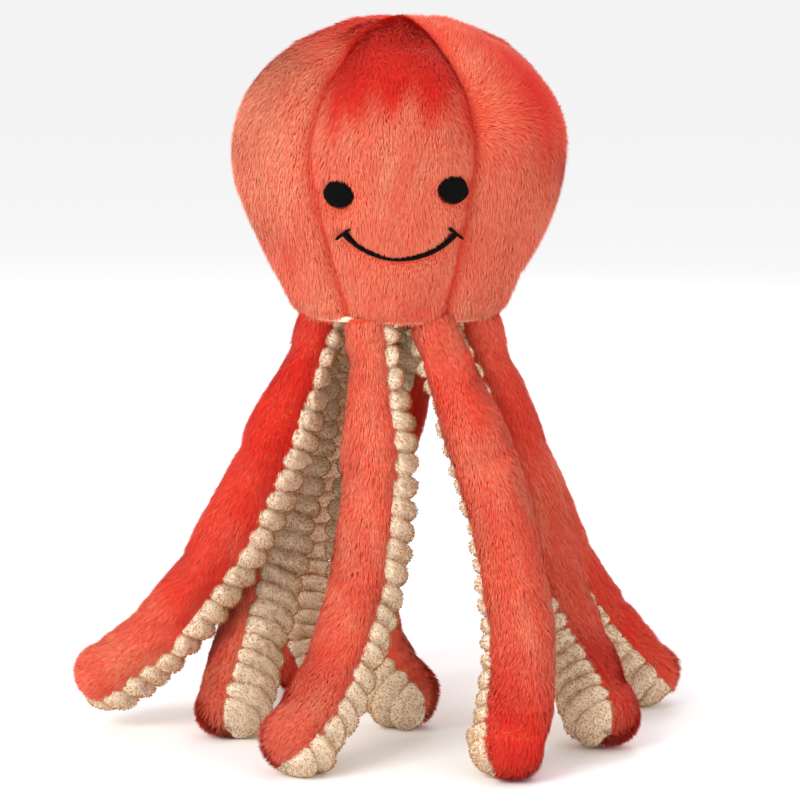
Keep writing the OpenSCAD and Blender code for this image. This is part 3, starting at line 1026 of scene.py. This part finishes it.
class MakeNeck(bpy.types.Operator):
    """Make the corduroy disc under the neck and the sewn seams of the head"""

    bl_idname = "octopus.make_neck"
    bl_label = "Neck and seams"

    STITCH_L = 2.6 * MM
    STITCH_R = 0.28 * MM
    STITCH_RISE = 0.35 * MM
    # How deep the disc's valleys are, and how many cuts shape each of its ribs
    VALLEY = 1.0 * MM
    CUTS_PER_RIB = 8

    def execute(self, context):
        corduroy = settings().corduroy
        low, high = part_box("neck_base")
        radius = high[0] - 2 * MM
        middle, half = (low[2] + high[2]) / 2, (high[2] - low[2]) / 2
        bm = bmesh.new()
        bmesh.ops.create_cone(bm, cap_ends=True, segments=96, radius1=radius, radius2=radius,
                              depth=2 * half)
        rim = [e for e in bm.edges
               if len(e.link_faces) == 2 and abs(e.verts[0].co.z - e.verts[1].co.z) < 1e-6]
        bmesh.ops.bevel(bm, geom=rim, offset=0.7 * MM, segments=3, profile=0.5, affect="EDGES",
                        material=-1)
        step = corduroy.rib_pitch / self.CUTS_PER_RIB
        cuts = [0] + [sign * i for i in range(1, int(radius / step)) for sign in (-1, 1)]
        for cut in cuts:
            bmesh.ops.bisect_plane(bm, geom=bm.verts[:] + bm.edges[:] + bm.faces[:],
                                   plane_co=(cut * step, 0, 0), plane_no=(1, 0, 0))
        mesh = finish_mesh(bm, "neck_disc")
        co = coordinates(mesh)
        phase = np.abs(np.cos(math.pi * co[:, 0] / corduroy.rib_pitch))
        inside = smooth((radius - np.hypot(co[:, 0], co[:, 1])) / (2 * MM))
        co[:, 2] -= np.where(co[:, 2] < 0, (phase - 1) * self.VALLEY * inside, 0)
        co[:, 2] += middle
        place(mesh, co)
        # The crest height sets the corduroy's colour, darker in the valleys as painted shade
        paint(mesh, "crest", phase)
        shade_smooth(mesh)
        mesh.materials.append(shared("corduroy", lambda: corduroy_material(corduroy)))
        disc = add_object("neck_disc", mesh)
        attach(disc, "head")
        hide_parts("neck_base")
        self.seams()
        return {"FINISHED"}

    def seams(self):
        thread = thread_material("seam_thread", settings().plush.root_colour)
        count = int(head.length / self.STITCH_L)
        threads = []
        for index in range(len(GORES)):
            azimuth = FIRST_SEAM + index * GORE_ANGLE
            for i in range(1, count - 2):
                threads.append((self.stitch(azimuth, i / count, 0.8 / count), self.STITCH_R))
        piece = thread_piece("gore_seam_stitches", threads, thread)
        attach(piece, "head")
        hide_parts("gore_seams")

    def stitch(self, azimuth, start, span):
        def curve(t):
            up = start + span * t
            point = head.skin(np.full(len(t), azimuth), up, MakeGores.UNDER)
            _, normal = head.at(np.full(len(t), azimuth), up)
            return point + normal * (self.STITCH_RISE * np.sin(math.pi * t))[:, None], normal
        return curve


class MakeFace(bpy.types.Operator):
    """Embroider the two eyes and the smile"""

    bl_idname = "octopus.make_face"
    bl_label = "Face"

    # Strands lie this share of their width apart
    OVERLAP = 0.8
    # How far an eye stands up in its middle and at its edge, and how far the smile does
    EYE_DOME, EYE_EDGE, SMILE_RISE = 1.5 * MM, 0.7 * MM, 1.8 * MM
    # Which way the eyes' strands run, from straight up, and how far the smile's lean
    EYE_LEAN, SMILE_LEAN = 0.2, 0.012

    def execute(self, context):
        face = settings().face
        black = thread_material("black_thread", face.thread_colour)
        for name, middle in (("eye_left", EYE_LEFT), ("eye_right", EYE_RIGHT)):
            self.finish(thread_piece(name + "_satin", self.eye(face, middle), black), name)
        self.finish(thread_piece("smile_satin", self.smile(face), black), "smile")
        return {"FINISHED"}

    def finish(self, piece, node):
        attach(piece, "head")
        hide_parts(node)

    def eye(self, face, middle):
        """Strands side by side over a raised disc."""
        radius, step = face.eye_size / 2, self.OVERLAP * face.thread_width
        rows = int(radius / step)
        lean = np.array((math.sin(self.EYE_LEAN), math.cos(self.EYE_LEAN)))
        over = np.array((lean[1], -lean[0]))
        rng = np.random.default_rng(7)
        threads = []
        for i in range(-rows, rows + 1):
            x = i * step
            half = math.sqrt(max(0.0, radius ** 2 - x * x)) + rng.uniform(0, 0.25) * MM
            if half < 0.6 * MM:
                continue
            spot = np.array(middle) + over * x
            raised = self.EYE_DOME * math.sqrt(max(0.05, 1 - (x / radius) ** 2)) + self.EYE_EDGE
            threads.append((satin_stitch(spot - lean * half, spot + lean * half, raised),
                            face.thread_width / 2))
        return threads

    def smile(self, face):
        step = self.OVERLAP * face.thread_width
        rng = np.random.default_rng(8)
        count = int(2 * SMILE_HALF * SMILE_RADIUS / step)
        threads = []
        for i in range(count + 1):
            angle = -SMILE_HALF + 2 * SMILE_HALF * i / count
            half = face.smile_width / 2 + rng.uniform(0, 0.2) * MM
            low = smile_spot(angle - self.SMILE_LEAN, -half)
            high = smile_spot(angle + self.SMILE_LEAN, half)
            threads.append((satin_stitch(low, high, self.SMILE_RISE), face.thread_width / 2))
        for side in (-1, 1):
            middle = np.array((side * SMILE_SPAN / 2, SMILE_TOP))
            lean = np.array((math.cos(DIMPLE_TILT), -side * math.sin(DIMPLE_TILT)))
            over = np.array((lean[1], -lean[0]))
            for i in range(int(DIMPLE_L / step)):
                spot = middle + lean * (i * step - DIMPLE_L / 2)
                half = 0.6 * face.smile_width / 2 + rng.uniform(-0.1, 0.2) * MM
                threads.append((satin_stitch(spot - over * half, spot + over * half,
                                             self.SMILE_RISE), face.thread_width / 2))
        return threads


class MakeTentacles(bpy.types.Operator):
    """Make the eight tentacles, each with a plush back, its pile and a corduroy sucker strip"""

    bl_idname = "octopus.make_tentacles"
    bl_label = "Tentacles"

    UNDER = 1.6 * MM
    WALL = 1.0 * MM
    BEND_HALF = 15 * MM
    BACK_EDGE = math.radians(-17)
    STRIP_EDGE = math.radians(-9)
    # Rows for each millimetre, and columns, of the back's skin and of the strip's
    BACK_ROWS, BACK_COLUMNS = 0.55, 22
    STRIP_ROWS, STRIP_COLUMNS = 1.5, 36
    TUFT_LENGTH, TUFT_WIDTH = 0.9 * MM, 0.36 * MM
    # How far a rib's valley and crest are from the tentacle's surface, how much higher the strip's
    # two flanks are, and how much lower its edges, in millimetres
    VALLEY, CREST, FLANK, EDGE_DROP_MM = -2.7 * MM, 0.7 * MM, 0.3 * MM, 1.2

    def execute(self, context):
        plush, corduroy = settings().plush, settings().corduroy
        backing = shared("plush_backing", lambda: backing_material(plush))
        cord = shared("corduroy", lambda: corduroy_material(corduroy))
        tufts = self.tuft_materials(corduroy)
        blade = fibre_blade("back_fibre", 0.45, 0.10)
        stub = fibre_blade("tuft_fibre", 0.5, 0.15)
        for arm in tentacles:
            for part, start, end in (("root", -TUCK, ROOT_END), ("arm", ROOT_END, ARM_L)):
                name = f"tentacle_{arm.number}_{part}"
                rows = int((end - start) / MM)
                skin = sheet_grid(name + "_plush", self.BACK_COLUMNS, int(rows * self.BACK_ROWS),
                                  lambda x, y: self.back_surface(
                                      arm, x, self.spread(y, start, end)))
                self.comb(skin, arm, start, end)
                pile = grow_fibres(name + "_pile", skin, blade, plush_materials(),
                                   density=plush.density, length=plush.pile_length,
                                   width=plush.fibre_width, rise=0.45, scatter=0.18,
                                   seed=1000 + 20 * arm.number + len(part))
                piece = add_object(name + "_plush", skin)
                skin.materials.append(backing)
                thicken(piece, self.WALL)
                strip = sheet_grid(name + "_corduroy", self.STRIP_COLUMNS,
                                   int(rows * self.STRIP_ROWS),
                                   lambda x, y: self.strip_surface(arm, x, mix(start, end, y)))
                self.cords(strip, arm, start, end)
                tuft = grow_fibres(name + "_tufts", strip, stub, tufts, soft=False,
                                   density=corduroy.density, length=self.TUFT_LENGTH,
                                   width=self.TUFT_WIDTH, rise=1.0, scatter=0.9, mottle=0.25,
                                   seed=3000 + 20 * arm.number + len(part))
                sucker = add_object(name + "_corduroy", strip)
                strip.materials.append(cord)
                thicken(sucker, self.WALL)
                self.finish(arm, part, (piece, pile), "plush")
                self.finish(arm, part, (sucker, tuft), "corduroy")
                if part == "arm":
                    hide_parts(*(f"{half}_{kind}" for half in (arm.upper, arm.lower)
                                         for kind in ("back", "filling")))
                    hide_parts(f"{arm.upper}_suckers", f"{arm.lower}_suckers")
        bpy.data.objects.remove(blade)
        bpy.data.objects.remove(stub)
        return {"FINISHED"}

    def finish(self, arm, part, pieces, slot):
        """The root's skin bends between the head and the tentacle, the rest at the middle."""
        if part == "root":
            bodies, span = ("head", arm.upper), arm.span(-TUCK, 2 * ROOT_R)
        else:
            middle = ARM_L / 2
            bodies = (arm.upper, arm.lower)
            span = arm.span(middle - self.BEND_HALF, middle + self.BEND_HALF)
        for piece in pieces:
            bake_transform(piece, *bodies, start=span[0], end=span[1])

    def tuft_materials(self, corduroy):
        root = tuple(mix(a, b, 0.5) for a, b in zip(corduroy.cord_colour, corduroy.crest_colour))
        dark = principled("tuft_root", root, 0.95, 0.0, (1, 0.95, 0.85), 0.1)
        return [dark] + shades("tuft_tip", root, corduroy.crest_colour, 4, 0.95, 0.0,
                               (1, 0.97, 0.9))

    def spread(self, y, start, end):
        """Distance along the tentacle for a share from 0 to 1, closer towards the rounded tip."""
        late = 0.9 if end == ARM_L else 0
        return mix(start, end, y + late * 0.5 * np.sin(math.pi * y) ** 2 * (y - y * y))

    def back_surface(self, arm, x, s):
        angle = mix(self.BACK_EDGE, math.pi - self.BACK_EDGE, x)
        point = arm.at(s, angle)
        lumps = waves(point, 24 * MM, 70 + arm.number) * 0.45 * MM
        edge = np.exp(-((np.minimum(x, 1 - x) / 0.05) ** 2)) * 0.5 * MM
        return arm.at(s, angle, -self.UNDER + lumps - edge)

    def comb(self, skin, arm, start, end):
        x, s = read(skin, "across"), self.spread(read(skin, "along"), start, end)
        points = coordinates(skin)
        along = arm.pick(arm.along, s)
        across = arm.pick(arm.across, s)
        sway = waves(points, 20 * MM, 80 + arm.number) * 0.3
        paint(skin, "comb", along + across * sway[:, None])
        paint(skin, "cover", np.ones(len(s)))
        pressed = 0.25 + 0.75 * smooth(points[:, 2] / (4 * MM))
        paint(skin, "pile", (0.9 + 0.08 * waves(points, 9 * MM, 42)) * pressed)
        paint(skin, "tone", self.tone(arm, x, s, points))

    def tone(self, arm, x, s, points):
        """How light the pile looks: random streaks and patches, and painted shade that makes it a deeper red
        where the pile stands up.
        """
        streaks = 0.08 * waves(points * (1, 1, 0.4), 7 * MM, 90 + arm.number)
        patches = 0.08 * waves(points, 26 * MM, 95 + arm.number)
        f = s / ARM_L
        base, red = 0.62, np.zeros(len(s))
        # Painted shade: the red patches darken the pile's colour where it stands up
        for middle, width, depth in RED_SHADE_PATCHES[arm.number]:
            red = red + depth * np.exp(-(((f - middle) / width) ** 2))
        return base - red + streaks + patches

    def rib(self, arm, x, s, pitch):
        """Height of the cords from 0 in a valley to 1 on a crest. The valleys wander a little."""
        wander = 0.45 * MM * np.sin(math.tau * (0.8 * x + s / (29 * MM)) + arm.number)
        f = ((s + wander) / pitch) % 1
        return np.sqrt(np.maximum(0, 1 - np.abs(2 * f - 1) ** 2.2))

    def strip_surface(self, arm, x, s):
        angle = mix(math.pi - self.STRIP_EDGE, math.tau + self.STRIP_EDGE, x)
        crest = self.rib(arm, x, s, settings().corduroy.rib_pitch)
        point = arm.at(s, angle)
        lumps = waves(point, 3.2 * MM, 110 + arm.number, 9) * 0.16 * MM
        edge = smooth(np.minimum(x, 1 - x) / 0.07)
        lift = mix(self.VALLEY, self.CREST, crest) * mix(0.35, 1, edge)
        lift = lift - (1 - edge) * self.EDGE_DROP_MM * MM + lumps
        lift = np.where(np.abs(np.sin(angle)) < 0.6, lift + self.FLANK * edge, lift)
        return arm.at(s, angle, lift)

    def cords(self, strip, arm, start, end):
        x, s = read(strip, "across"), mix(start, end, read(strip, "along"))
        points = coordinates(strip)
        crest = self.rib(arm, x, s, settings().corduroy.rib_pitch)
        paint(strip, "crest", crest)
        paint(strip, "comb", arm.pick(arm.along, s) * 0.3 + arm.pick(arm.across, s) * 0.2)
        paint(strip, "cover", 0.25 + 0.75 * crest)
        paint(strip, "pile", (0.6 + 0.4 * crest) * smooth(0.1 + points[:, 2] / (3 * MM)))
        # Painted shade: the tufts are darker in the valleys and lighter on the crests, with a random speckle
        speckle = waves(points, 2.6 * MM, 120 + arm.number, 9)
        paint(strip, "tone", 0.05 + 0.62 * crest + 0.22 * speckle)


class MakeStage(bpy.types.Operator):
    """Set up the pale floor, the soft light and the camera"""

    bl_idname = "octopus.make_stage"
    bl_label = "Stage"

    # Each lamp's name, place, size, power and colour, and the height that they all point at
    LAMPS = (
        ("key", (-0.75, -0.85, 0.85), 0.8, 11.5, (1, 0.98, 0.955)),
        ("fill", (0.9, -0.8, 0.5), 0.9, 1.4, (0.98, 0.99, 1)),
        ("rim", (0.3, 0.9, 0.9), 0.7, 4, (1, 1, 1)),
    )
    LAMP_AIM = 0.11
    DAYLIGHT = 0.90
    FLOOR_HALF = 30
    SENSOR = 36

    def execute(self, context):
        stage = settings().stage
        self.floor()
        for lamp in self.LAMPS:
            self.light(*lamp)
        world = bpy.data.worlds.new("studio")
        world.use_nodes = True
        background = world.node_tree.nodes["Background"]
        background.inputs["Color"].default_value = (1, 1, 1, 1)
        background.inputs["Strength"].default_value = self.DAYLIGHT
        context.scene.world = world
        camera = bpy.data.objects.new("camera", bpy.data.cameras.new("camera"))
        context.scene.collection.objects.link(camera)
        camera.data.lens = stage.lens
        camera.data.sensor_width = self.SENSOR
        camera.data.clip_start, camera.data.clip_end = 0.05, 50
        aim = Vector((0, 0, stage.aim_height))
        back = Vector((0, -math.cos(stage.elevation), math.sin(stage.elevation)))
        camera.location = aim + back * stage.distance
        camera.rotation_euler = (-back).to_track_quat("-Z", "Y").to_euler()
        context.scene.camera = camera
        context.scene.view_settings.view_transform = "Standard"
        return {"FINISHED"}

    def floor(self):
        bm = bmesh.new()
        bmesh.ops.create_grid(bm, x_segments=8, y_segments=8, size=self.FLOOR_HALF)
        mesh = finish_mesh(bm, "floor")
        mesh.materials.append(principled("floor_paper", (1, 1, 1), 0.9, specular=0.0))
        floor = add_object("floor", mesh)

    def light(self, name, place_at, size, power, colour):
        data = bpy.data.lights.new(name, "AREA")
        data.shape = "DISK"
        data.size = size
        data.energy = power
        data.color = colour
        lamp = bpy.data.objects.new(name, data)
        bpy.context.scene.collection.objects.link(lamp)
        lamp.location = place_at
        aim = Vector((0, 0, self.LAMP_AIM)) - Vector(place_at)
        lamp.rotation_euler = aim.to_track_quat("-Z", "Y").to_euler()


class OctopusPanel(bpy.types.Panel):
    """Buttons for each group of pieces"""

    bl_idname = "VIEW3D_PT_octopus"
    bl_label = "Plush octopus"
    bl_space_type = "VIEW_3D"
    bl_region_type = "UI"
    bl_category = "Octopus"

    def draw(self, context):
        for group in ("plush", "corduroy", "face", "stage"):
            box = self.layout.box()
            values = getattr(context.scene.octopus, group)
            for name in values.__annotations__:
                box.prop(values, name)
        for operator in OPERATORS:
            self.layout.operator(operator.bl_idname)


GROUPS = (PlushSettings, CorduroySettings, FaceSettings, StageSettings, OctopusSettings)
OPERATORS = (MakeStage, Stuff, MakeGores, MakeNeck, MakeFace, MakeTentacles)


def register():
    for item in GROUPS + OPERATORS + (OctopusPanel,):
        bpy.utils.register_class(item)
    bpy.types.Scene.octopus = bpy.props.PointerProperty(type=OctopusSettings)


def unregister():
    del bpy.types.Scene.octopus
    for item in reversed(GROUPS + OPERATORS + (OctopusPanel,)):
        bpy.utils.unregister_class(item)


def main():
    register()
    for operator in OPERATORS:
        name = operator.bl_idname.split(".")[1]
        getattr(bpy.ops.octopus, name)()


if __name__ == "__main__":
    main()
